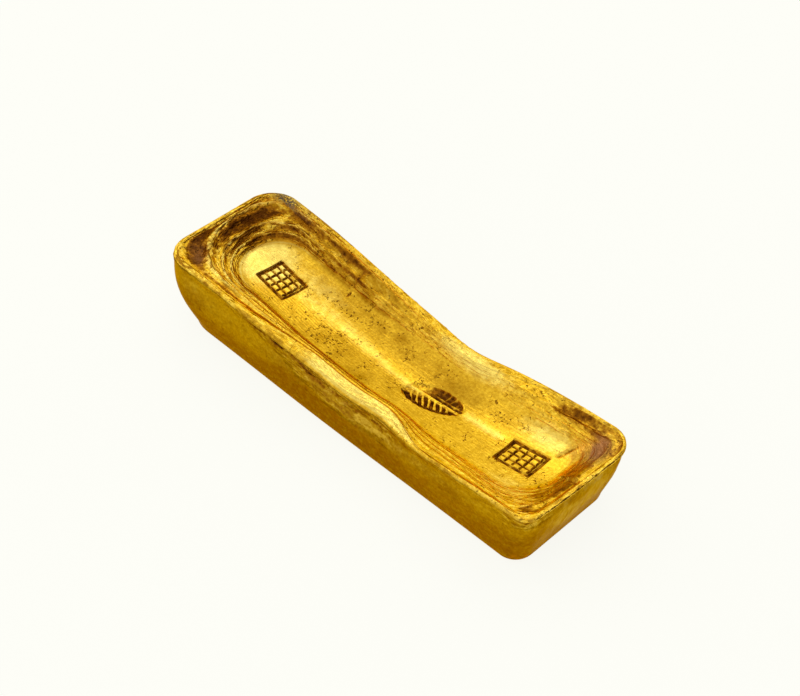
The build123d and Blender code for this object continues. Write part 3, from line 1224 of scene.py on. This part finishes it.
# Painted shade: the walls go darker and browner from the rim down to the foot.
lit_share_by_height = ramp(around(times(place_z, 1 / WALL_TOP), slow, 1.6), 0.25, 1.0)
wall_colour = colour_mix(lit_share_by_height, WALL_LOW_SHADED, WALL_HIGH_LIT)
olive_flecks = ramp(grain(1300, 3.0, 0.6, stretch=(0.6, 1.0, 1.0)), 0.44, 0.70)
wall_colour = colour_mix(times(olive_flecks, 0.28), wall_colour, WALL_OLIVE)
red_flecks = ramp(grain(300, 5.0, 0.7, stretch=(0.4, 1.0, 1.0)), 0.48, 0.74)
wall_colour = colour_mix(times(red_flecks, 0.42), wall_colour, WALL_RED)
scratched = ramp(grain(1100, 4.0, 0.65, stretch=(1.0, 1.0, 0.45)), 0.30, 0.62)
wall_colour = colour_mix(times(rubbed_and_highlight_here, scratched), wall_colour, END_PALE)
wall_colour = colour_mix(times(deep_here, 0.8), wall_colour, WALL_SKIN)
colour = colour_mix(wall, top_colour, wall_colour)
print("wall colour:", len(nodes), "nodes")

# %% [markdown]
# Crumpled skin. Its ridges run along the rings and are rubbed bright, with painted glints
# on them, and the valleys between them hold dirt and painted shade. The pattern is a noise
# in a space of its own: x and y as on the bar, and the distance across the rings as the
# third coordinate, as for the folds in the mesh.

# %% Ridges with painted glints, and dirt and painted shade, of the crumpled skin
FOLD_DIRT_AND_SHADE = (0.27, 0.105, 0.005)
RIDGE_GLINT_GOLD = (0.97, 0.68, 0.085)
RIDGE_SCALE, RIDGE_ACROSS = 430, 1.45

ring_space = node("CombineXYZ")
feed(ring_space.inputs[0], times(place_x, RIDGE_SCALE))
feed(ring_space.inputs[1], times(place_y, RIDGE_SCALE))
feed(ring_space.inputs[2], times(across, RIDGE_ACROSS))
wrinkle_noise = node("TexNoise")
feed(wrinkle_noise.inputs["Scale"], 1.0)
feed(wrinkle_noise.inputs["Detail"], 2.0)
feed(wrinkle_noise.inputs["Roughness"], 0.6)
feed(wrinkle_noise.inputs["Vector"], ring_space.outputs[0])
wrinkles = wrinkle_noise.outputs["Fac"]
folded = times(around(folds, medium, 0.5), ramp(folds, 0.02, 0.2))
# Painted shade with dirt in the valleys, then painted glints on the ridges.
valleys = less(1.0, ramp(wrinkles, 0.38, 0.47))
colour = colour_mix(times(folded, valleys, 0.9), colour, FOLD_DIRT_AND_SHADE)
ridges = times(folded, ramp(wrinkles, 0.53, 0.60))
ridges = times(ridges, less(0.75, larger(wall, deep_here), 0.4))
colour = colour_mix(ridges, colour, RIDGE_GLINT_GOLD)
print("crumpled skin:", len(nodes), "nodes")

# %% [markdown]
# Tarnish, and the painted shade that shares its value, is russet where it is thin and nearly
# black where it is thick, so the same value drives two mixes, one after the other. Film and
# soot lie over it. At last the whole colour is multiplied by two mottled ones, which break
# up any even patch.

# %% Tarnish and painted shade, film, soot and mottle
BLOOM = (0.60, 0.21, 0.008)
RUSSET = (0.30, 0.112, 0.005)
TARNISH_AND_SHADE = (0.085, 0.024, 0.003)
FILM = (0.33, 0.130, 0.038)
SOOT = (0.115, 0.085, 0.055)
MOTTLE_LOW, MOTTLE_HIGH = (0.88, 0.84, 0.74), (1.06, 1.07, 1.10)
SPECKLE_LOW, SPECKLE_HIGH = (0.80, 0.74, 0.55), (1.12, 1.15, 1.3)

bloom_here = times(around(bloom, fine, 0.5), ramp(bloom, 0.02, 0.25))
colour = colour_mix(bloom_here, colour, BLOOM)
# Painted shade shares this dark value with tarnish and dirt.
ragged_dark = times(around(dark, grain(1000, 3.0, 0.65), 1.6), ramp(dark, 0.02, 0.25))
colour = colour_mix(ramp(ragged_dark, 0.05, 0.55), colour, RUSSET)
colour = colour_mix(ramp(ragged_dark, 0.40, 1.0), colour, TARNISH_AND_SHADE)
colour = colour_mix(film, colour, FILM)
colour = colour_mix(times(soot, ramp(fine, 0.25, 0.6)), colour, SOOT)
mottle = colour_mix(ramp(medium, 0.34, 0.66), MOTTLE_LOW, MOTTLE_HIGH)
colour = colour_mix(0.8, colour, mottle, "MULTIPLY")
speckle = colour_mix(ramp(grain(2200, 2.0, 0.6), 0.34, 0.66), SPECKLE_LOW, SPECKLE_HIGH)
colour = colour_mix(less(0.7, rubbed_and_highlight_here, 0.45), colour, speckle, "MULTIPLY")
print("tarnish:", len(nodes), "nodes")

# %% [markdown]
# Fine lines follow the rings, as the shrinking metal left them. They are a sine of the
# distance across the rings that each vertex carries, bent a little by the clouds, and they
# fade where the gold is rubbed and where a highlight is painted.

# %% Lines that follow the rings
LINE_GOLD = (0.60, 0.32, 0.010)
LINES_PER_MM = 11.5

wavy_ring = plus(across, times(clouds, 0.8))
lines = math_node("SINE", times(wavy_ring, LINES_PER_MM))
line_here = times(line_share, ramp(medium, 0.34, 0.64), less(1.0, rubbed_and_highlight_here, 0.75))
line_dirt = times(less(line_here, times(ramp(lines, -1.0, 0.2), line_here)), 0.60)
colour = colour_mix(line_dirt, colour, LINE_GOLD)
print("ring lines:", len(nodes), "nodes")

# %% [markdown]
# Pits are the small dark holes that gas left. They are the deepest places of a fine noise,
# and a slower noise and the pit groups decide where they are open. Hair cracks are where
# another noise crosses its middle. A Voronoi texture gives the few red-brown specks on the
# walls, one to a cell.

# %% Pits, hair cracks and specks
SPECK = (0.16, 0.045, 0.006)

pit_field = less(grain(1700, 2.0, 0.6), grouped, 0.022)
pit_hole = less(1.0, ramp(pit_field, 0.335, 0.385))
pit_here = larger(ramp(grain(230, 3.0, 0.6), 0.53, 0.60), ramp(grouped, 0.1, 0.4))
pit_here = times(pit_here, less(1.0, wall, 0.6))
pit = times(pit_hole, pit_here, less(1.0, rubbed_and_highlight_here, 0.8))
crossing = math_node("ABSOLUTE", less(grain(420, 3.0, 0.55), 0.5))
crack = less(1.0, ramp(crossing, 0.004, 0.014))
crack_here = ramp(grain(330, 3.0, 0.6, stretch=(1.0, 1.0, 0.2)), 0.58, 0.64)
crack = times(crack, crack_here, less(1.0, wall), less(1.0, rubbed_and_highlight_here, 0.7))
pit = larger(pit, crack)
colour = colour_mix(times(pit, 0.8), colour, TARNISH_AND_SHADE)

specks = node("TexVoronoi", feature="F1")
feed(specks.inputs["Scale"], 240)
feed(specks.inputs["Vector"], position)
speck = less(1.0, ramp(around(specks.outputs["Distance"], fine, 0.25), 0.06, 0.14))
speck = times(speck, wall, ramp(clouds, 0.42, 0.52))
colour = colour_mix(times(speck, 0.75), colour, SPECK)
print("pits and specks:", len(nodes), "nodes")

# %% [markdown]
# Bump. The larger folds are in the mesh, and only what is finer than its faces is bump
# here: lines, streaks, grain, scratches, wrinkles and pits. With a Distance of 1 the
# heights are metres, so 0.000010 is a hundredth of a millimetre.

# %% The bump of the metal
# Each pattern and how high it stands, in metres.
HEIGHTS = (
    (times(lines, line_here), 0.000010),
    (streaks, 0.000022),
    (fine, 0.000010),
    (medium, 0.000034),
    (times(scratched, wall), 0.000012),
    (times(wrinkles, folds), 0.00065),
    (times(grain(1300, 1.5, 0.5), folds), 0.00012),
    (pit, -0.00008),
)
height = plus(*(times(pattern, metres) for pattern, metres in HEIGHTS))
bump = node("Bump")
feed(bump.inputs["Strength"], 1.0)
feed(bump.inputs["Distance"], 1.0)
feed(bump.inputs["Height"], height)
print("bump from", len(HEIGHTS), "patterns")

# %% [markdown]
# The shader. Gold stays metallic under thin tarnish, because a half-metal looks grey there.
# Only film and soot dull it. Cast walls and the dark of tarnish and painted shade are rougher
# than rubbed gold. The mesh then rides on the bar's body and takes the place of the CAD node.

# %% The gold shader
SMOOTHEST, ROUGHEST = 0.16, 0.30
WALL_ROUGHER, TARNISH_ROUGHER = 0.14, 0.18
EDGE_TINT = (1.0, 0.72, 0.25)

rough = node("MapRange")
feed(rough.inputs[0], medium)
feed(rough.inputs[3], SMOOTHEST)
feed(rough.inputs[4], ROUGHEST)
roughness = plus(rough.outputs[0], times(wall, WALL_ROUGHER), times(ragged_dark, TARNISH_ROUGHER))

shader = node("BsdfPrincipled")
feed(shader.inputs["Specular Tint"], EDGE_TINT)
feed(shader.inputs["Base Color"], colour)
feed(shader.inputs["Roughness"], roughness)
feed(shader.inputs["Metallic"], less(1.0, larger(film, soot), 0.45))
feed(shader.inputs["Normal"], bump.outputs[0])
output = node("OutputMaterial")
feed(output.inputs[0], shader.outputs[0])
mesh.materials.append(gold)

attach(ingot_cast, "root")
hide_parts("ingot")
print("gold shader:", len(nodes), "nodes")

# %% [markdown]
# The stage is a pale paper floor. It is almost white for the camera and for reflections,
# which a share of plain emission gives, and the rest is a diffuse surface that keeps the
# soft shadow of the bar.

# %% Floor
FLOOR_REACH = 3.0
PAPER, PAPER_WHITE = (0.97, 0.97, 0.92), (1.0, 1.0, 0.94)
WHITE_SHARE = 0.9

floor_mesh = bpy.data.meshes.new("floor")
flat = bmesh.new()
bmesh.ops.create_grid(flat, x_segments=1, y_segments=1, size=FLOOR_REACH)
flat.to_mesh(floor_mesh)
flat.free()
floor = bpy.data.objects.new("floor", floor_mesh)
bpy.context.scene.collection.objects.link(floor)

paper = bpy.data.materials.new("paper")
paper.use_nodes = True
nodes, links = paper.node_tree.nodes, paper.node_tree.links
nodes.clear()
diffuse = node("BsdfDiffuse")
feed(diffuse.inputs[0], PAPER)
white = node("Emission")
feed(white.inputs[0], PAPER_WHITE)
feed(white.inputs[1], 1.0)
rays = node("LightPath").outputs
seen = larger(larger(rays["Is Camera Ray"], rays["Is Glossy Ray"]), rays["Is Transmission Ray"])
blend = node("MixShader")
feed(blend.inputs[0], times(seen, WHITE_SHARE))
feed(blend.inputs[1], diffuse.outputs[0])
feed(blend.inputs[2], white.outputs[0])
output = node("OutputMaterial")
feed(output.inputs[0], blend.outputs[0])
floor_mesh.materials.append(paper)
floor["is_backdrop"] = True
print("floor:", [round(side, 1) for side in floor.dimensions])

# %% [markdown]
# Lamps. A metal is seen by what it mirrors, so each lamp is placed for a highlight: one
# soft box behind the bar for the long shine down the trough, one higher up for the pool at
# the left end, and one at the left that also gives the soft shadow on the right.

# %% Soft boxes
BOX_DISTANCE = 0.9
# A box's direction from the bar, its size in metres and how bright its face is.
BOXES = {
    "box_behind": ((-0.54, 0.47, 0.70), 0.25, 1.25),
    "box_pool": ((-0.27, 0.50, 0.82), 0.22, 1.3),
    "box_left": ((-0.84, -0.10, 0.54), 0.35, 1.35),
}

for name, (direction, size, radiance) in BOXES.items():
    lamp = bpy.data.lights.new(name, "AREA")
    lamp.shape = "DISK"
    lamp.size = size
    lamp.energy = radiance * math.pi * math.pi * (size / 2) ** 2
    box = bpy.data.objects.new(name, lamp)
    bpy.context.scene.collection.objects.link(box)
    box.location = Vector(direction).normalized() * BOX_DISTANCE
    box.rotation_euler = Vector(direction).to_track_quat("Z", "Y").to_euler()
    print(name, "watts:", round(lamp.energy, 3))

# %% [markdown]
# The world is a pale sky, a little darker overhead, so that the floor of the dish doesn't
# wash out. One warm dark flag to the right and behind is mirrored in the slopes that face
# it, and keeps the risers of the left steps deep.

# %% World
SKY_LOW, SKY_HIGH = (1.0, 1.0, 0.98), (0.86, 0.86, 0.86)
SKY_STRENGTH = 1.1
FLAG_DIRECTION, FLAG = (0.82, 0.47, 0.32), (0.11, 0.065, 0.035)
FLAG_OUTER, FLAG_INNER = 0.66, 0.90

world = bpy.data.worlds.new("studio")
bpy.context.scene.world = world
world.use_nodes = True
nodes, links = world.node_tree.nodes, world.node_tree.links
nodes.clear()
looking = node("TexCoord").outputs["Generated"]
upward = node("SeparateXYZ")
feed(upward.inputs[0], looking)
sky = colour_mix(ramp(upward.outputs[2], 0.1, 0.8), SKY_LOW, SKY_HIGH)
toward_flag = node("VectorMath", operation="DOT_PRODUCT")
feed(toward_flag.inputs[0], looking)
toward_flag.inputs[1].default_value = FLAG_DIRECTION
sky = colour_mix(ramp(toward_flag.outputs["Value"], FLAG_OUTER, FLAG_INNER), sky, FLAG)
background = node("Background")
feed(background.inputs[0], sky)
feed(background.inputs[1], SKY_STRENGTH)
output = node("OutputWorld")
feed(output.inputs[0], background.outputs[0])
print("world:", len(nodes), "nodes")

# %% [markdown]
# The camera stands where the photographer's did: 46 degrees round from the near long side,
# 45 degrees up, with a long lens about 39 cm away. A lens shift moves the bar off the
# middle of the picture without turning the camera.

# %% Camera
CAMERA_ROUND, CAMERA_UP, CAMERA_ROLL = (math.radians(angle) for angle in (45.6, 45.34, 0.25))
CAMERA_DISTANCE = 0.3922
LOOK_AT = (0, -0.00075, 0.00644)

toward = Vector(
    (
        math.cos(CAMERA_UP) * math.sin(CAMERA_ROUND),
        -math.cos(CAMERA_UP) * math.cos(CAMERA_ROUND),
        math.sin(CAMERA_UP),
    )
)
lens = bpy.data.cameras.new("camera")
lens.sensor_width = 36
lens.lens = 103.4
lens.shift_x = 0.0135
lens.shift_y = 0.0328
camera = bpy.data.objects.new("camera", lens)
camera.location = Vector(LOOK_AT) + toward * CAMERA_DISTANCE
camera.rotation_mode = "QUATERNION"
camera.rotation_quaternion = toward.to_track_quat("Z", "Y") @ Quaternion((0, 0, 1), CAMERA_ROLL)
bpy.context.scene.collection.objects.link(camera)
bpy.context.scene.camera = camera
bpy.context.scene.view_settings.view_transform = "Standard"
print("camera at, cm:", [round(c * 100, 1) for c in camera.location])

# %% [markdown]
# Last, the boxes of the CAD and of what is seen are put side by side, to compare them.

# %% Sizes side by side
def plain(corners):
    return [[float(c) for c in corner] for corner in corners]


{"cad": plain(cad_box), "visual": plain(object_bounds())}
